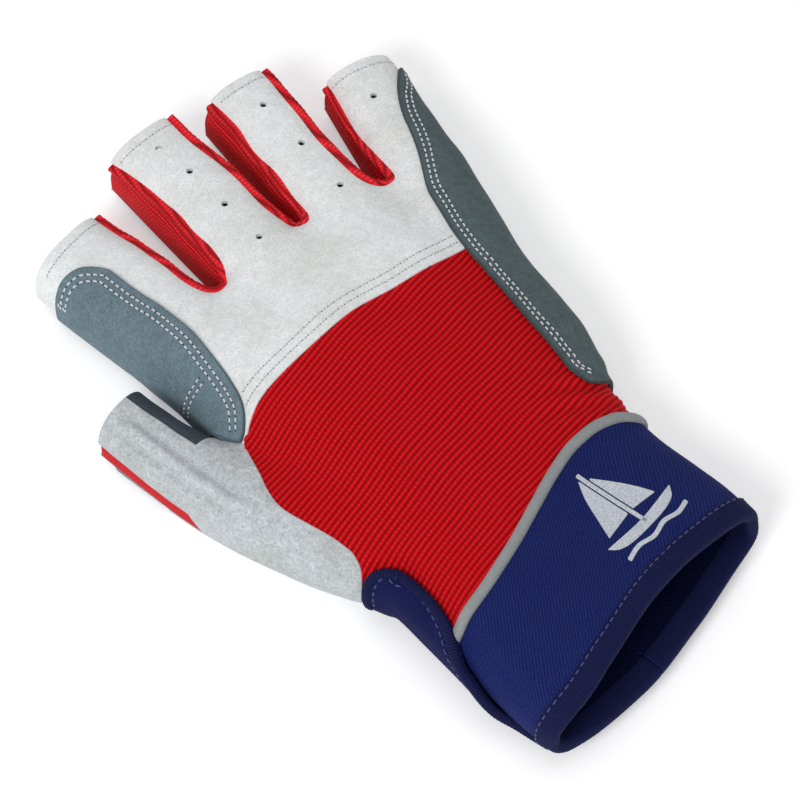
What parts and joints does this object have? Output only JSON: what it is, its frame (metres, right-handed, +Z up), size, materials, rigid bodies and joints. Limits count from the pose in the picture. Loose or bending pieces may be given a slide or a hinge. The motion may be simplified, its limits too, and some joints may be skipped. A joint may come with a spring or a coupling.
{
  "type": "sailing glove",
  "caption": "Short-finger right-hand sailing glove with suede knuckle and palm panels, rib-knit back, grey side patches and a neoprene cuff closed by a wrap-round strap",
  "frame": {"origin": "on the flat underside of the palm reinforcement, below the middle of the palm, with the glove lying palm down", "axes": "+Y runs to the fingertips, +X to the little finger, +Z up out of the back of the hand"},
  "size_m": [0.1502, 0.2347, 0.0345],
  "materials": {
    "white_suede": "matte suede",
    "light_suede": "matte suede",
    "palm_suede": "matte suede",
    "blue_grey_nubuck": "nubuck",
    "slate_nubuck": "nubuck",
    "grey_reinforcement": "nubuck",
    "charcoal_suede": "matte suede",
    "red_rib_knit": "rib knit",
    "red_side_knit": "rib knit",
    "navy_neoprene": "jersey-faced neoprene",
    "navy_binding": "woven tape",
    "grey_piping": "matte",
    "silver_print": "satin print",
    "hook_tape": "moulded hooks",
    "loop_tape": "brushed loop",
    "thread": "thread"
  },
  "bodies": {
    "hand": {"knuckle_leather_panel": "white_suede", "stretch_back_panel": "red_rib_knit", "thumb_base_back_leather": "light_suede", "palm_leather": "palm_suede", "thumb_base_palm_leather": "light_suede", "thumb_base_gusset": "red_side_knit", "palm_reinforcement": "grey_reinforcement", "ulnar_side_patch": "slate_nubuck", "index_side_patch_root": "blue_grey_nubuck", "index_crotch_patch": "blue_grey_nubuck", "web_index_middle": "red_side_knit", "web_middle_ring": "red_side_knit", "web_ring_little": "red_side_knit", "cuff_back_band": "navy_neoprene", "cuff_palm_band_little_side": "navy_neoprene", "cuff_palm_band_thumb_side": "navy_neoprene", "cuff_piping": "grey_piping", "cuff_rim_binding": "navy_binding", "cuff_loop_patch": "loop_tape", "cuff_sail_emblem": "silver_print"},
    "index": {"index_back_leather": "white_suede", "index_wall_little_side": "red_side_knit", "index_palm_leather": "palm_suede", "index_palm_overlay": "grey_reinforcement", "index_side_patch": "blue_grey_nubuck"},
    "middle": {"middle_back_leather": "white_suede", "middle_wall_thumb_side": "red_side_knit", "middle_wall_little_side": "red_side_knit", "middle_palm_leather": "palm_suede", "middle_palm_overlay": "grey_reinforcement"},
    "ring": {"ring_back_leather": "white_suede", "ring_wall_thumb_side": "red_side_knit", "ring_wall_little_side": "red_side_knit", "ring_palm_leather": "palm_suede", "ring_palm_overlay": "grey_reinforcement"},
    "little": {"little_back_leather": "white_suede", "little_wall_thumb_side": "red_side_knit", "little_palm_leather": "palm_suede", "little_palm_overlay": "grey_reinforcement", "little_side_patch": "slate_nubuck"},
    "thumb": {"thumb_back_leather": "light_suede", "thumb_crotch_patch": "charcoal_suede", "thumb_gusset": "red_side_knit", "thumb_palm_leather": "palm_suede", "thumb_palm_overlay": "grey_reinforcement"},
    "strap": {"closure_strap": "navy_neoprene", "strap_edge_binding": "navy_binding", "strap_hook_patch": "hook_tape"}
  },
  "joints": [
    {"name": "index_flex", "type": "hinge", "parent": "hand", "child": "index", "pos_m": [-0.0406, 0.052, 0], "axis": [-0.9833, -0.1819, 0], "range_deg": [0, 60]},
    {"name": "middle_flex", "type": "hinge", "parent": "hand", "child": "middle", "pos_m": [-0.0064, 0.0525, 0], "axis": [-0.9997, 0.025, 0], "range_deg": [0, 60]},
    {"name": "ring_flex", "type": "hinge", "parent": "hand", "child": "ring", "pos_m": [0.0222, 0.0515, 0], "axis": [-0.9989, 0.0471, 0], "range_deg": [0, 60]},
    {"name": "little_flex", "type": "hinge", "parent": "hand", "child": "little", "pos_m": [0.0496, 0.0465, 0], "axis": [-0.9735, 0.2288, 0], "range_deg": [0, 60]},
    {"name": "thumb_flex", "type": "hinge", "parent": "hand", "child": "thumb", "pos_m": [-0.0654, 0.014, 0], "axis": [-0.9884, -0.1518, 0], "range_deg": [0, 50]},
    {"name": "strap_open", "type": "hinge", "parent": "hand", "child": "strap", "pos_m": [0.02, -0.083, 0.0039], "axis": [0, -1, 0], "range_deg": [0, 120]}
  ]
}
